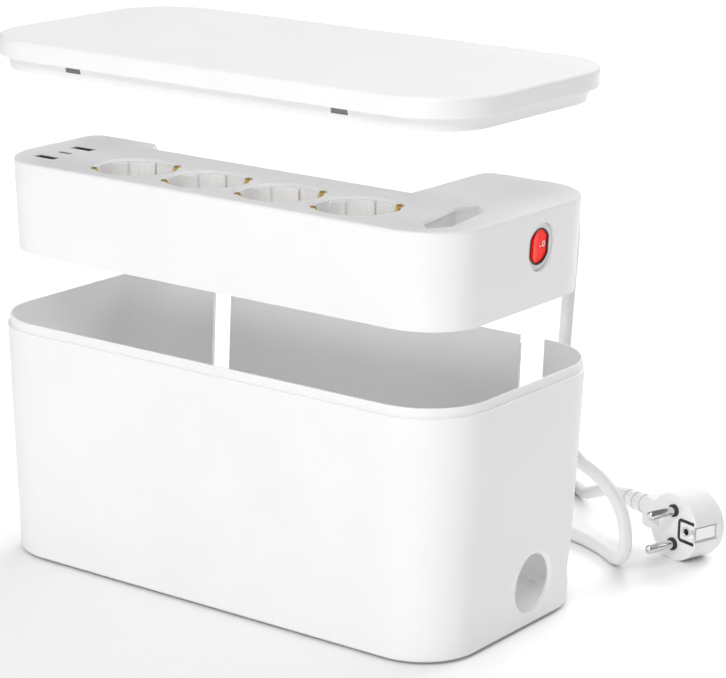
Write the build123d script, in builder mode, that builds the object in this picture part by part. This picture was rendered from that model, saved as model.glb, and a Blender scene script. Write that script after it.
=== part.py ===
from math import atan, cos, degrees, pi, radians, sin, tan
import os
from build123d import *

# Cable management box, millimetres. The origin is on the table under the middle of the box,
# +X runs to the switch end, +Y to the back wall and +Z up. The socket strip and the lid are
# drawn lifted out of the box by strip_lift.

# tub
box_length = 300
box_width = 150
shoulder_z = 127
corner_radius = 37
side_taper = 5
wall = 2.2
floor_thickness = 2.4
bottom_edge_radius = 2
lip_height = 5
lip_inset = 1.2
foot_height = 1.5
foot_radius = 6
foot_inset = 23
left_slot_x = -104
left_slot_width = 12.5
right_slot_x = 102.5
right_slot_width = 15.2
slot_bottom = 55
slot_round = 3
hole_radius = 15.5
hole_chamfer = 1.4
hole_z = 23.3
end_hole_y = 13.4
corner_hole_angle = 45
window_right_x = 117.5
window_rear_y = 63
window_length = 37
window_width = 40
window_round = 4
seat_rib_thickness = 2
seat_rib_reach = 8
front_rib_x = 90
left_rib_y = -8
right_rib_y = -32

# lid
lid_overhang = 2.1
lid_thickness = 9.9
lid_plate = 2.4
lid_edge_radius = 2.2
lid_gap = 0.3
lid_groove_depth = 5.6
skirt_wall = 1.6
skirt_drop = 7.1
skirt_taper = 1.5
clip_window_x = 83.5
clip_window_width = 10
clip_window_height = 3.6
lid_rib_thickness = 1.4
lid_rib_height = 3
lid_rib_pitch = 60
lid_rib_count = 5

# socket strip
strip_lift = 144.2
strip_depth = 54.8
strip_height = 48.5
strip_gap = 0.4
strip_wall = 2
strip_plate = 2.5
strip_edge_radius = 1.5
bar_width_y = 73.2
left_wing_width = 48.2
left_wing_step = 11
right_wing_width = 72.2
wing_round = 8
notch_round = 6
inner_corner_radius = 20
base_thickness = 2.4
base_gap = 0.15
boss_radius = 3.6
screw_radius = 1.5
screw_head_radius = 2.8
screw_head_height = 1.4
screw_length = 12
screw_play = 0.02
boss_front = 8.7
boss_rear = 8
boss_right = 41.2
boss_left = 33.2
wing_boss = 9
tip_boss = 13.2
corner_boss = (11.2, 20.2)

# round earthed sockets
socket_count = 4
socket_pitch = 47.1
socket_middle_x = 0.4
socket_from_front = 30.7
clip_angle = 45
recess_radius = 20.6
recess_depth = 17.5
rim_radius = 20.9
rim_chamfer = 1.2
cup_wall = 2.4
cup_floor = 2.5
cup_flange_radius = 23.2
cup_flange = 1.5
pin_spacing = 19
pin_hole_radius = 2.6
guide_width = 8
guide_spacing = 14
guide_depth = 2
guide_drop = 1.6
clip_width = 5.4
clip_sheet = 0.7
clip_gap = 0.3
clip_leg_radius = 22.6
clip_bulge_radius = 17.9
clip_end_radius = 19.8
clip_top_radius = 20.1
clip_top_drop = 0.5
clip_bulge_drop = 8
clip_end_drop = 13.5
clip_bend = 0.8
contact_wall = 0.8
contact_length = 11
pin_play = 0.1
bar_sheet = 1
bar_width = 6
bar_reach = 5
earth_bar_width = 5
support_thickness = 3
support_width = 22

# flat two-pin socket, a long hexagonal recess
euro_from_right = 24.4
euro_from_front = 40.4
euro_turn = 9
euro_length = 54.6
euro_width = 14.2
euro_side = 35
euro_chamfer = 1.2
euro_depth = 15
euro_wall = 1.6
euro_floor = 2.5
euro_flange = 1.6
euro_flange_reach = 1.6
euro_pin_spacing = 18.6
euro_pin_radius = 2
euro_hole_radius = 2.2

# charging sockets
usb_from_left = 22.7
usb_a_from_front = (20.2, 48.7)
usb_a_length = 13.6
usb_a_width = 6
usb_c_from_front = 34.6
usb_c_length = 9.2
usb_c_width = 3.4
usb_height = 12
usb_shell = 0.4
usb_floor = 1
usb_play = 0.2
usb_sink = 0.4
usb_tongue_sink = 1
usb_a_tongue = (10.6, 1.9)
usb_a_tongue_offset = 0.9
usb_c_tongue = (6.4, 0.8)
board_length = 24
board_width = 42
board_thickness = 1.6
board_post_radius = 2.5
board_post_spacing = 33

# rocker switch
switch_y = 13
switch_drop = 19
dish_radius = 12.3
dish_depth = 2.6
dish_wall = 1.8
bezel_radius = 12.1
bezel_thickness = 0.8
bezel_edge = 0.5
switch_body_radius = 9.9
switch_body_depth = 17
switch_play = 0.05
aperture_radius = 8.6
aperture_half_width = 7.6
aperture_depth = 6
rocker_side_play = 0.6
rocker_end_play = 0.35
rocker_axle_radius = 1.2
rocker_axle_play = 0.05
rocker_axle_reach = 0.6
rocker_axle_depth = 4.8
rocker_tilt = 7
rocker_back = 1.9
rocker_valley = 2.4
rocker_rise = 0.9
terminal_length = 8
terminal_width = 4.8
terminal_thickness = 0.8
terminal_pitch = 6
terminal_count = 3

# mains cord, its gland and its plug
cord_radius = 3.5
gland_x = 100.8
gland_drop = 10
gland_radius = 5.2
gland_tip_radius = 4.4
gland_inside = 9
gland_outside = 14
gland_collar_radius = 7.2
gland_collar = 2
gland_collar_gap = 1
gland_play = 0.02
coil_x = 8
coil_y = 186.5
coil_radius = 38
coil_turns = 4.5
coil_width = 14
coil_height = 21
plug_x = 154
plug_y = 155
plug_angle = 252.5
plug_radius = 18.5
plug_face = 10
plug_back = 12
plug_back_edge = 4
plug_notch_width = 9
plug_notch_depth = 2.6
plug_notch_back = 6
plug_pin_radius = 2.4
plug_pin_length = 19
plug_pin_seat = 6
plug_pin_tip = 1.9
pin_seat_play = 0.02
plug_collar_radius = 3.5
plug_collar_length = 1.2
plug_clip_width = 6.4
plug_clip_sheet = 0.8
plug_clip_drop = 1
plug_earth_radius = 2.6
plug_earth_offset = 10
plug_earth_depth = 8
grip_reach = 30.5
grip_width = 17
grip_edge = 3
relief_length = 26
relief_start_radius = 6
relief_end_radius = 4.4
relief_groove_count = 3
relief_groove_width = 1.8
relief_groove_depth = 1.1

# route of the cord: the lead hangs behind the tub and swings out to the right, then runs along
# the table to the coil; lead_share is where on the shared run the moving part ends
lead_share = 0.54
lead_route = (
    (100.8, 93.5, 206.4),
    (100.9, 102.2, 202.8),
    (101, 108.8, 196.2),
    (101.2, 112.4, 187.5),
    (101.4, 112.2, 176.5),
    (101.6, 110, 158),
    (101.9, 107, 131),
    (102.3, 104, 101),
    (104.5, 101.5, 79.5),
    (113, 100, 62),
    (131.5, 99.6, 55),
    (144.2, 99.9, 41),
)
table_route = (
    (147.1, 100.7, 28.4),
    (145.6, 104.3, 17.2),
    (140.3, 110.3, 8.4),
    (132.1, 117.5, 3.5),
    (118, 128, 3.5),
    (100, 136, 3.5),
    (76, 142.5, 3.5),
    (50, 147, 3.5),
    (28, 148.4, 3.5),
)
plug_route = (
    (89.723, 178.936, 18.5),
    (77, 185.5, 12.5),
    (64.5, 196, 6),
    (50, 210, 3.5),
    (37, 219.1, 3.5),
)

# levels and outlines worked out from the sizes above
floor_z = foot_height + floor_thickness
taper_slope = side_taper / (shoulder_z - foot_height)
taper_angle = degrees(atan(taper_slope))
seated_top = shoulder_z - strip_depth
seated_bottom = seated_top - strip_height
strip_top = seated_top + strip_lift
strip_bottom = strip_top - strip_height
base_top = strip_bottom + base_thickness
plate_bottom = strip_top - strip_plate
strip_inset = taper_slope * strip_depth + wall + strip_gap
strip_right = box_length / 2 - strip_inset
strip_rear = box_width / 2 - strip_inset
bar_rear_y = bar_width_y - strip_rear
left_wing_x = left_wing_width - strip_right
left_wing_y = bar_rear_y + left_wing_step
right_wing_x = strip_right - right_wing_width
socket_y = socket_from_front - strip_rear
euro_x = strip_right - euro_from_right
euro_y = euro_from_front - strip_rear
usb_x = usb_from_left - strip_right
usb_a_y = [y - strip_rear for y in usb_a_from_front]
usb_c_y = usb_c_from_front - strip_rear
first_socket_x = socket_middle_x - socket_pitch * (socket_count - 1) / 2
socket_x = [first_socket_x + i * socket_pitch for i in range(socket_count)]
between_x = [x + socket_pitch / 2 for x in socket_x[:-1]]
boss_places = [(x, boss_front - strip_rear) for x in between_x]
boss_places += [(x, bar_rear_y - boss_rear) for x in between_x]
boss_places += [
    (strip_right - boss_right, boss_front - strip_rear),
    (boss_left - strip_right, boss_front - strip_rear),
    (tip_boss - strip_right, left_wing_y - wing_boss),
    (strip_right - corner_boss[0], strip_rear - corner_boss[1]),
    (right_wing_x + wing_boss, strip_rear - wing_boss),
]
cup_bottom = strip_top - recess_depth - cup_floor
bar_bottom = cup_bottom - contact_length - bar_sheet
pin_offset = pin_spacing / 2 * cos(radians(clip_angle))
live_y = socket_y - pin_offset
neutral_y = socket_y + pin_offset
lid_bottom = shoulder_z + strip_lift
os.makedirs("parts", exist_ok=True)


def tub_inset(height):
    # how far the tapered side of the tub stands inside the shoulder outline
    return taper_slope * (shoulder_z - height)


def box_outline(height, inset):
    # the shoulder outline moved inward by inset
    with BuildSketch(Plane.XY.offset(height)) as outline:
        RectangleRounded(box_length - 2 * inset, box_width - 2 * inset, corner_radius - inset)
    return outline.sketch


def strip_outline(height, inset):
    # U of the strip: a bar along the front, a short left wing and a long right wing, moved
    # inward by inset and by the draft that it shares with the tub
    shrink = inset + taper_slope * (strip_top - height)
    with BuildSketch(Plane.XY.offset(height)) as outline:
        RectangleRounded(
            box_length - 2 * strip_inset,
            box_width - 2 * strip_inset,
            corner_radius - strip_inset,
        )
        with Locations((left_wing_x, bar_rear_y)):
            Rectangle(
                right_wing_x - left_wing_x, box_width, align=(Align.MIN, Align.MIN), mode=Mode.SUBTRACT
            )
        with Locations((left_wing_x, left_wing_y)):
            Rectangle(box_length, box_width, align=(Align.MAX, Align.MIN), mode=Mode.SUBTRACT)
        corners = outline.vertices()
        notch = corners.filter_by(lambda v: abs(v.Y - bar_rear_y) < 0.01)
        tips = corners.filter_by(lambda v: abs(v.Y - left_wing_y) < 0.01)
        tips += corners.filter_by(lambda v: abs(v.X - right_wing_x) < 0.01 and v.Y > left_wing_y)
        fillet(tips, wing_round)
        fillet(notch.sort_by(Axis.X)[-1], inner_corner_radius)
        fillet(notch.sort_by(Axis.X)[0], notch_round)
        if shrink > 0:
            offset(amount=-shrink, kind=Kind.INTERSECTION)
    return outline.sketch


def socket_plane(x, height):
    # local X runs through the two pins and local Y through the two earth clips
    turn = radians(clip_angle)
    return Plane((x, socket_y, height), x_dir=(cos(turn), -sin(turn), 0), z_dir=(0, 0, 1))


def euro_plane(height):
    # local Y runs through the two pins
    turn = radians(euro_turn)
    return Plane((euro_x, euro_y, height), x_dir=(cos(turn), sin(turn), 0), z_dir=(0, 0, 1))


def euro_hexagon(plane, growth):
    # long hexagon with a point at each end
    half_width = euro_width / 2 + growth
    half_length = euro_length / 2 + growth
    half_side = euro_side / 2 + growth / 2
    with BuildSketch(plane) as hexagon:
        with BuildLine():
            Polyline(
                (0, -half_length),
                (half_width, -half_side),
                (half_width, half_side),
                (0, half_length),
                (-half_width, half_side),
                (-half_width, -half_side),
                close=True,
            )
        make_face()
    return hexagon.sketch


# ---- tub

with BuildPart() as box_shell:
    loft([box_outline(foot_height, side_taper), box_outline(shoulder_z, 0)], ruled=True)
    fillet(box_shell.edges().group_by(Axis.Z)[0], bottom_edge_radius)
    extrude(box_outline(shoulder_z, lip_inset), amount=lip_height)
    loft(
        [box_outline(floor_z, tub_inset(floor_z) + wall), box_outline(shoulder_z, wall)],
        ruled=True,
        mode=Mode.SUBTRACT,
    )
    extrude(box_outline(shoulder_z, wall), amount=lip_height, mode=Mode.SUBTRACT)
    # seat ribs under the strip, rooted in the wall
    rib_root = wall / 2 + tub_inset(floor_z)
    rib_length = seat_rib_reach + wall / 2
    rib_places = (
        (-front_rib_x, rib_root - box_width / 2, 90),
        (front_rib_x, rib_root - box_width / 2, 90),
        (rib_root - box_length / 2, left_rib_y, 0),
        (box_length / 2 - rib_root, right_rib_y, 180),
        (right_wing_x + 2 * seat_rib_thickness, box_width / 2 - rib_root, -90),
    )
    with BuildSketch(Plane.XY.offset(floor_z)):
        with Locations([Location((x, y, 0), turn) for x, y, turn in rib_places]):
            Rectangle(rib_length, seat_rib_thickness, align=(Align.MIN, Align.CENTER))
    extrude(amount=seated_bottom - floor_z)
    # cord slots in the back wall, open at the lip
    for slot_x, slot_width in ((left_slot_x, left_slot_width), (right_slot_x, right_slot_width)):
        with BuildSketch(Plane.XZ.offset(-box_width / 2)) as slot:
            with Locations((slot_x, slot_bottom)):
                Rectangle(slot_width, box_width, align=(Align.CENTER, Align.MIN))
            fillet(slot.vertices().group_by(Axis.Z)[0], slot_round)
        extrude(amount=side_taper + 2 * wall, mode=Mode.SUBTRACT)
    # round cord hole through the right end and one through the rear right corner
    turn = radians(corner_hole_angle)
    hole_inset = tub_inset(hole_z)
    corner_x = box_length / 2 - corner_radius
    corner_y = box_width / 2 - corner_radius
    corner_reach = corner_radius - hole_inset
    hole_planes = (
        Plane((box_length / 2 - hole_inset, end_hole_y, hole_z), x_dir=(0, 1, 0), z_dir=(1, 0, 0)),
        Plane(
            (corner_x + corner_reach * cos(turn), corner_y + corner_reach * sin(turn), hole_z),
            x_dir=(-sin(turn), cos(turn), 0),
            z_dir=(cos(turn), sin(turn), 0),
        ),
    )
    for hole_plane in hole_planes:
        with BuildSketch(hole_plane.offset(-corner_radius / 2)):
            Circle(hole_radius)
        extrude(amount=corner_radius, mode=Mode.SUBTRACT)
        with BuildSketch(hole_plane.offset(-hole_chamfer)):
            Circle(hole_radius)
        with BuildSketch(hole_plane.offset(hole_chamfer)):
            Circle(hole_radius + 2 * hole_chamfer)
        loft(mode=Mode.SUBTRACT)
    # cord window in the floor
    with BuildSketch(Plane.XY):
        with Locations((window_right_x - window_length / 2, window_rear_y - window_width / 2)):
            RectangleRounded(window_length, window_width, window_round)
    extrude(amount=2 * floor_z, mode=Mode.SUBTRACT)
box_shell.part.label = "box_shell"
export_step(box_shell.part, "parts/box_shell.step")

foot_x = box_length / 2 - foot_inset
foot_y = box_width / 2 - foot_inset
with BuildPart() as rubber_feet:
    with BuildSketch():
        with Locations((-foot_x, -foot_y), (foot_x, -foot_y), (-foot_x, foot_y), (foot_x, foot_y)):
            Circle(foot_radius)
    extrude(amount=foot_height)
    chamfer(rubber_feet.edges().group_by(Axis.Z)[0], foot_height / 3)
rubber_feet.part.label = "rubber_feet"
export_step(rubber_feet.part, "parts/rubber_feet.step")

# ---- lid

# the lip of the tub rises into a groove between the lid's outer rim and its skirt
groove_outer = lip_inset - lid_gap
groove_inner = wall + lid_gap
skirt_inner = groove_inner + skirt_wall
with BuildPart() as lid:
    extrude(box_outline(lid_bottom, -lid_overhang), amount=lid_thickness)
    fillet(lid.edges().group_by(Axis.Z)[-1], lid_edge_radius)
    fillet(lid.edges().group_by(Axis.Z)[0], lid_edge_radius / 4)
    extrude(box_outline(lid_bottom, groove_outer), amount=lid_groove_depth, mode=Mode.SUBTRACT)
    extrude(box_outline(lid_bottom, groove_inner), amount=lid_groove_depth)
    loft(
        [
            box_outline(lid_bottom - skirt_drop, groove_inner + skirt_taper),
            box_outline(lid_bottom, groove_inner),
        ],
        ruled=True,
    )
    loft(
        [
            box_outline(lid_bottom - skirt_drop, skirt_inner + skirt_taper),
            box_outline(lid_bottom, skirt_inner),
        ],
        ruled=True,
        mode=Mode.SUBTRACT,
    )
    cavity_height = lid_thickness - lid_plate
    extrude(box_outline(lid_bottom, skirt_inner), amount=cavity_height, mode=Mode.SUBTRACT)
    # stiffening ribs under the plate
    inner_length = box_length - 2 * skirt_inner
    inner_width = box_width - 2 * skirt_inner
    rib_z = lid_bottom + cavity_height - lid_rib_height
    with BuildSketch(Plane.XY.offset(rib_z)):
        Rectangle(inner_length, lid_rib_thickness)
        with GridLocations(lid_rib_pitch, 0, lid_rib_count, 1):
            Rectangle(lid_rib_thickness, inner_width)
        add(box_outline(0, skirt_inner), mode=Mode.INTERSECT)
    extrude(amount=lid_rib_height)
    # windows of the snap clips in the long sides of the skirt
    with BuildSketch(Plane.XZ.offset(-box_width / 2)):
        with Locations(
            (-clip_window_x, lid_bottom - clip_window_height / 2),
            (clip_window_x, lid_bottom - clip_window_height / 2),
        ):
            Rectangle(clip_window_width, clip_window_height)
    extrude(amount=box_width, mode=Mode.SUBTRACT)
lid.part.label = "lid"
export_step(lid.part, "parts/lid.step")

# ---- socket strip, cover and base

switch_z = strip_top - switch_drop
switch_x = box_length / 2 - strip_inset - taper_slope * switch_drop
slope = radians(taper_angle)
switch_plane = Plane(
    (switch_x, switch_y, switch_z), x_dir=(0, 1, 0), z_dir=(cos(slope), 0, -sin(slope))
)
gland_z = strip_top - gland_drop
gland_wall_y = box_width / 2 - strip_inset - taper_slope * gland_drop
gland_plane = Plane((gland_x, gland_wall_y, gland_z), x_dir=(-1, 0, 0), z_dir=(0, 1, 0))

with BuildPart() as strip_top_cover:
    loft([strip_outline(strip_bottom, 0), strip_outline(strip_top, 0)], ruled=True)
    fillet(strip_top_cover.edges().group_by(Axis.Z)[-1], strip_edge_radius)
    loft(
        [strip_outline(strip_bottom, strip_wall), strip_outline(plate_bottom, strip_wall)],
        ruled=True,
        mode=Mode.SUBTRACT,
    )
    # screw bosses
    with BuildSketch(Plane.XY.offset(base_top)):
        with Locations(*boss_places):
            Circle(boss_radius)
    extrude(amount=plate_bottom - base_top)
    with BuildSketch(Plane.XY.offset(base_top)):
        with Locations(*boss_places):
            Circle(screw_radius)
    extrude(amount=screw_length, mode=Mode.SUBTRACT)
    # round openings with a chamfered rim and two notches for the earth clips
    for x in socket_x:
        with BuildSketch(Plane.XY.offset(plate_bottom)):
            with Locations((x, socket_y)):
                Circle(rim_radius)
        extrude(amount=strip_plate, mode=Mode.SUBTRACT)
    rims = strip_top_cover.edges().group_by(Axis.Z)[-1].filter_by(GeomType.CIRCLE)
    chamfer(rims.filter_by(lambda e: abs(e.radius - rim_radius) < 0.01), rim_chamfer)
    notch_length = 2 * (clip_leg_radius + clip_sheet / 2 + clip_gap)
    for x in socket_x:
        with BuildSketch(socket_plane(x, plate_bottom)):
            Rectangle(clip_width + 2 * clip_gap, notch_length)
        extrude(amount=strip_plate, mode=Mode.SUBTRACT)
    # long hexagonal opening
    extrude(euro_hexagon(euro_plane(plate_bottom), 0), amount=strip_plate, mode=Mode.SUBTRACT)
    loft(
        [
            euro_hexagon(euro_plane(strip_top - euro_chamfer), 0),
            euro_hexagon(euro_plane(strip_top), euro_chamfer),
        ],
        ruled=True,
        mode=Mode.SUBTRACT,
    )
    # charging openings
    with BuildSketch(Plane.XY.offset(plate_bottom)):
        with Locations([(usb_x, y) for y in usb_a_y]):
            Rectangle(usb_a_length + 2 * usb_play, usb_a_width + 2 * usb_play)
        with Locations((usb_x, usb_c_y)):
            SlotOverall(usb_c_length + 2 * usb_play, usb_c_width + 2 * usb_play)
    extrude(amount=strip_plate, mode=Mode.SUBTRACT)
    # dish that keeps the switch behind the end wall, with the hole of its body
    with BuildSketch(switch_plane.offset(-dish_depth - dish_wall)):
        Circle(dish_radius + dish_wall)
    extrude(amount=dish_depth + dish_wall - strip_wall / 2)
    with BuildSketch(switch_plane.offset(-dish_depth)):
        Circle(dish_radius)
    extrude(amount=2 * dish_depth, mode=Mode.SUBTRACT)
    with BuildSketch(switch_plane.offset(-dish_depth - dish_wall)):
        Circle(switch_body_radius + switch_play)
    extrude(amount=2 * dish_wall, mode=Mode.SUBTRACT)
    # hole of the gland
    with BuildSketch(gland_plane.offset(-2 * strip_wall)):
        Circle(gland_radius + gland_play)
    extrude(amount=4 * strip_wall, mode=Mode.SUBTRACT)
strip_top_cover.part.label = "strip_top_cover"
export_step(strip_top_cover.part, "parts/strip_top_cover.step")

board_top = strip_top - usb_sink - usb_height
board_bottom = board_top - board_thickness
with BuildPart() as strip_base:
    loft(
        [
            strip_outline(strip_bottom, strip_wall + base_gap),
            strip_outline(base_top, strip_wall + base_gap),
        ],
        ruled=True,
    )
    # walls that carry the bus bars, and posts under the charging board
    support_x = [x + socket_pitch / 2 for x in socket_x]
    with BuildSketch(Plane.XY.offset(base_top)):
        with Locations([(x, socket_y) for x in support_x]):
            Rectangle(support_thickness, support_width)
    extrude(amount=bar_bottom - base_top)
    with BuildSketch(Plane.XY.offset(base_top)):
        with Locations(
            (usb_x, usb_c_y - board_post_spacing / 2), (usb_x, usb_c_y + board_post_spacing / 2)
        ):
            Circle(board_post_radius)
    extrude(amount=board_bottom - base_top)
    # countersunk screw holes
    with Locations([Location((x, y, strip_bottom), (180, 0, 0)) for x, y in boss_places]):
        CounterBoreHole(
            screw_radius + screw_play,
            screw_head_radius + screw_play,
            screw_head_height,
            base_thickness,
        )
strip_base.part.label = "strip_base"
export_step(strip_base.part, "parts/strip_base.step")

with BuildPart() as base_screws:
    with BuildSketch(Plane.XY.offset(strip_bottom)):
        with Locations(*boss_places):
            Circle(screw_head_radius)
    extrude(amount=screw_head_height)
    with BuildSketch(Plane.XY.offset(strip_bottom + screw_head_height)):
        with Locations(*boss_places):
            Circle(screw_radius - screw_play)
    extrude(amount=screw_length)
base_screws.part.label = "base_screws"
export_step(base_screws.part, "parts/base_screws.step")

# ---- round earthed sockets

for number, x in enumerate(socket_x, start=1):
    with BuildPart() as socket_insert:
        with BuildSketch(socket_plane(x, cup_bottom)):
            Circle(recess_radius + cup_wall)
        extrude(amount=plate_bottom - cup_bottom)
        with BuildSketch(socket_plane(x, plate_bottom - cup_flange)):
            Circle(cup_flange_radius)
        extrude(amount=cup_flange)
        with BuildSketch(socket_plane(x, cup_bottom + cup_floor)):
            Circle(recess_radius)
        extrude(amount=recess_depth, mode=Mode.SUBTRACT)
        # a pair of guide blocks beyond each pin
        with BuildSketch(socket_plane(x, cup_bottom + cup_floor)):
            with GridLocations(0, guide_spacing, 1, 2):
                Rectangle(2 * recess_radius, guide_width)
            Circle(recess_radius, mode=Mode.INTERSECT)
            Circle(recess_radius - guide_depth, mode=Mode.SUBTRACT)
        extrude(amount=recess_depth - guide_drop)
        with BuildSketch(socket_plane(x, cup_bottom)):
            with Locations((pin_spacing / 2, 0), (-pin_spacing / 2, 0)):
                Circle(pin_hole_radius)
        extrude(amount=cup_floor, mode=Mode.SUBTRACT)
        # grooves for the legs of the earth clip
        groove_depth = clip_sheet + 2 * clip_gap + clip_leg_radius - recess_radius
        groove_middle = clip_leg_radius + clip_sheet / 2 + clip_gap - groove_depth / 2
        with BuildSketch(socket_plane(x, cup_bottom)):
            with Locations((0, groove_middle), (0, -groove_middle)):
                Rectangle(clip_width + 2 * clip_gap, groove_depth)
        extrude(amount=plate_bottom - cup_bottom, mode=Mode.SUBTRACT)
    socket_insert.part.label = f"socket_insert_{number}"
    export_step(socket_insert.part, f"parts/socket_insert_{number}.step")

    # one brass strip: bridge under the cup, a leg up each side, folded over into the recess
    bridge_drop = strip_top - cup_bottom + clip_sheet / 2
    turn = radians(clip_angle)
    clip_plane = Plane(
        (x, socket_y, strip_top), x_dir=(sin(turn), cos(turn), 0), z_dir=(cos(turn), -sin(turn), 0)
    )
    half = (
        (clip_end_radius, -clip_end_drop),
        (clip_bulge_radius, -clip_bulge_drop),
        (clip_top_radius, -clip_top_drop),
        (clip_leg_radius, -clip_top_drop),
        (clip_leg_radius, -bridge_drop),
    )
    with BuildPart() as earth_clip:
        with BuildSketch(clip_plane):
            with BuildLine():
                FilletPolyline(*half, *[(-r, h) for r, h in reversed(half)], radius=clip_bend)
            trace(line_width=clip_sheet)
        extrude(amount=clip_width / 2, both=True)
    earth_clip.part.label = f"earth_clip_{number}"
    export_step(earth_clip.part, f"parts/earth_clip_{number}.step")

euro_pin_reach = euro_pin_spacing / 2
front_pin = euro_plane(0).from_local_coords((0, -euro_pin_reach, 0))
rear_pin = euro_plane(0).from_local_coords((0, euro_pin_reach, 0))
euro_bottom = strip_top - euro_depth - euro_floor
sleeve_radius = plug_pin_radius + pin_play
euro_sleeve_radius = euro_pin_radius + pin_play
for pole, bar_y, side, euro_pin in (
    ("live", live_y, 1, front_pin),
    ("neutral", neutral_y, -1, rear_pin),
):
    # a flat bar with a sleeve under each pin hole and a branch to the two-pin socket
    tube_x = [x + side * pin_offset for x in socket_x]
    bar_start = tube_x[0] - bar_reach
    with BuildPart() as bus_bar:
        with BuildSketch(Plane.XY.offset(bar_bottom)):
            with Locations((bar_start, bar_y)):
                Rectangle(euro_pin.X - bar_start, bar_width, align=(Align.MIN, Align.CENTER))
            with Locations((euro_pin.X, (bar_y + euro_pin.Y) / 2)):
                Rectangle(bar_width, euro_pin.Y - bar_y + bar_width)
        extrude(amount=bar_sheet)
        with BuildSketch(Plane.XY.offset(bar_bottom)):
            with Locations([(tube, bar_y) for tube in tube_x]):
                Circle(sleeve_radius + contact_wall)
        extrude(amount=cup_bottom - bar_bottom)
        with BuildSketch(Plane.XY.offset(bar_bottom)):
            with Locations((euro_pin.X, euro_pin.Y)):
                Circle(euro_sleeve_radius + contact_wall)
        extrude(amount=euro_bottom - bar_bottom)
        with BuildSketch(Plane.XY.offset(bar_bottom + bar_sheet)):
            with Locations([(tube, bar_y) for tube in tube_x]):
                Circle(sleeve_radius)
            with Locations((euro_pin.X, euro_pin.Y)):
                Circle(euro_sleeve_radius)
        extrude(amount=strip_height, mode=Mode.SUBTRACT)
    bus_bar.part.label = f"{pole}_bus_bar"
    export_step(bus_bar.part, f"parts/{pole}_bus_bar.step")

with BuildPart() as earth_bus_bar:
    with BuildSketch(Plane.XY.offset(cup_bottom - clip_sheet - bar_sheet)):
        with Locations((socket_middle_x, socket_y)):
            Rectangle((socket_count - 1) * socket_pitch + 2 * bar_reach, earth_bar_width)
    extrude(amount=bar_sheet)
earth_bus_bar.part.label = "earth_bus_bar"
export_step(earth_bus_bar.part, "parts/earth_bus_bar.step")

# ---- flat two-pin socket

with BuildPart() as euro_socket_insert:
    extrude(euro_hexagon(euro_plane(euro_bottom), euro_wall), amount=plate_bottom - euro_bottom)
    extrude(
        euro_hexagon(euro_plane(plate_bottom - euro_flange), euro_wall + euro_flange_reach),
        amount=euro_flange,
    )
    extrude(
        euro_hexagon(euro_plane(euro_bottom + euro_floor), 0), amount=euro_depth, mode=Mode.SUBTRACT
    )
    with BuildSketch(euro_plane(euro_bottom)):
        with Locations((0, euro_pin_reach), (0, -euro_pin_reach)):
            Circle(euro_hole_radius)
    extrude(amount=euro_floor, mode=Mode.SUBTRACT)
euro_socket_insert.part.label = "euro_socket_insert"
export_step(euro_socket_insert.part, "parts/euro_socket_insert.step")

# ---- charging sockets

with BuildPart() as usb_board:
    with BuildSketch(Plane.XY.offset(board_bottom)):
        with Locations((usb_x, usb_c_y)):
            Rectangle(board_length, board_width)
    extrude(amount=board_thickness)
usb_board.part.label = "usb_board"
export_step(usb_board.part, "parts/usb_board.step")

for number, y in enumerate(usb_a_y, start=1):
    with BuildPart() as usb_a_port:
        with BuildSketch(Plane.XY.offset(board_top)):
            with Locations((usb_x, y)):
                Rectangle(usb_a_length, usb_a_width)
        extrude(amount=usb_height)
        with BuildSketch(Plane.XY.offset(board_top + usb_floor)):
            with Locations((usb_x, y)):
                Rectangle(usb_a_length - 2 * usb_shell, usb_a_width - 2 * usb_shell)
        extrude(amount=usb_height, mode=Mode.SUBTRACT)
    usb_a_port.part.label = f"usb_a_port_{number}"
    export_step(usb_a_port.part, f"parts/usb_a_port_{number}.step")

    with BuildPart() as usb_a_tongue_part:
        with BuildSketch(Plane.XY.offset(board_top + usb_floor)):
            with Locations((usb_x, y + usb_a_tongue_offset)):
                Rectangle(*usb_a_tongue)
        extrude(amount=usb_height - usb_floor - usb_tongue_sink)
    usb_a_tongue_part.part.label = f"usb_a_tongue_{number}"
    export_step(usb_a_tongue_part.part, f"parts/usb_a_tongue_{number}.step")

with BuildPart() as usb_c_port:
    with BuildSketch(Plane.XY.offset(board_top)):
        with Locations((usb_x, usb_c_y)):
            SlotOverall(usb_c_length, usb_c_width)
    extrude(amount=usb_height)
    with BuildSketch(Plane.XY.offset(board_top + usb_floor)):
        with Locations((usb_x, usb_c_y)):
            SlotOverall(usb_c_length - 2 * usb_shell, usb_c_width - 2 * usb_shell)
    extrude(amount=usb_height, mode=Mode.SUBTRACT)
usb_c_port.part.label = "usb_c_port"
export_step(usb_c_port.part, "parts/usb_c_port.step")

with BuildPart() as usb_c_tongue_part:
    with BuildSketch(Plane.XY.offset(board_top + usb_floor)):
        with Locations((usb_x, usb_c_y)):
            Rectangle(*usb_c_tongue)
    extrude(amount=usb_height - usb_floor - usb_tongue_sink)
usb_c_tongue_part.part.label = "usb_c_tongue"
export_step(usb_c_tongue_part.part, "parts/usb_c_tongue.step")

# ---- rocker switch, local X along the end wall and local Y up it


def aperture_outline(plane, side_play, end_play):
    # circle with two flat sides
    with BuildSketch(plane) as outline:
        Circle(aperture_radius - end_play)
        Rectangle(
            2 * (aperture_half_width - side_play), 2 * aperture_radius, mode=Mode.INTERSECT
        )
    return outline.sketch


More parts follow.
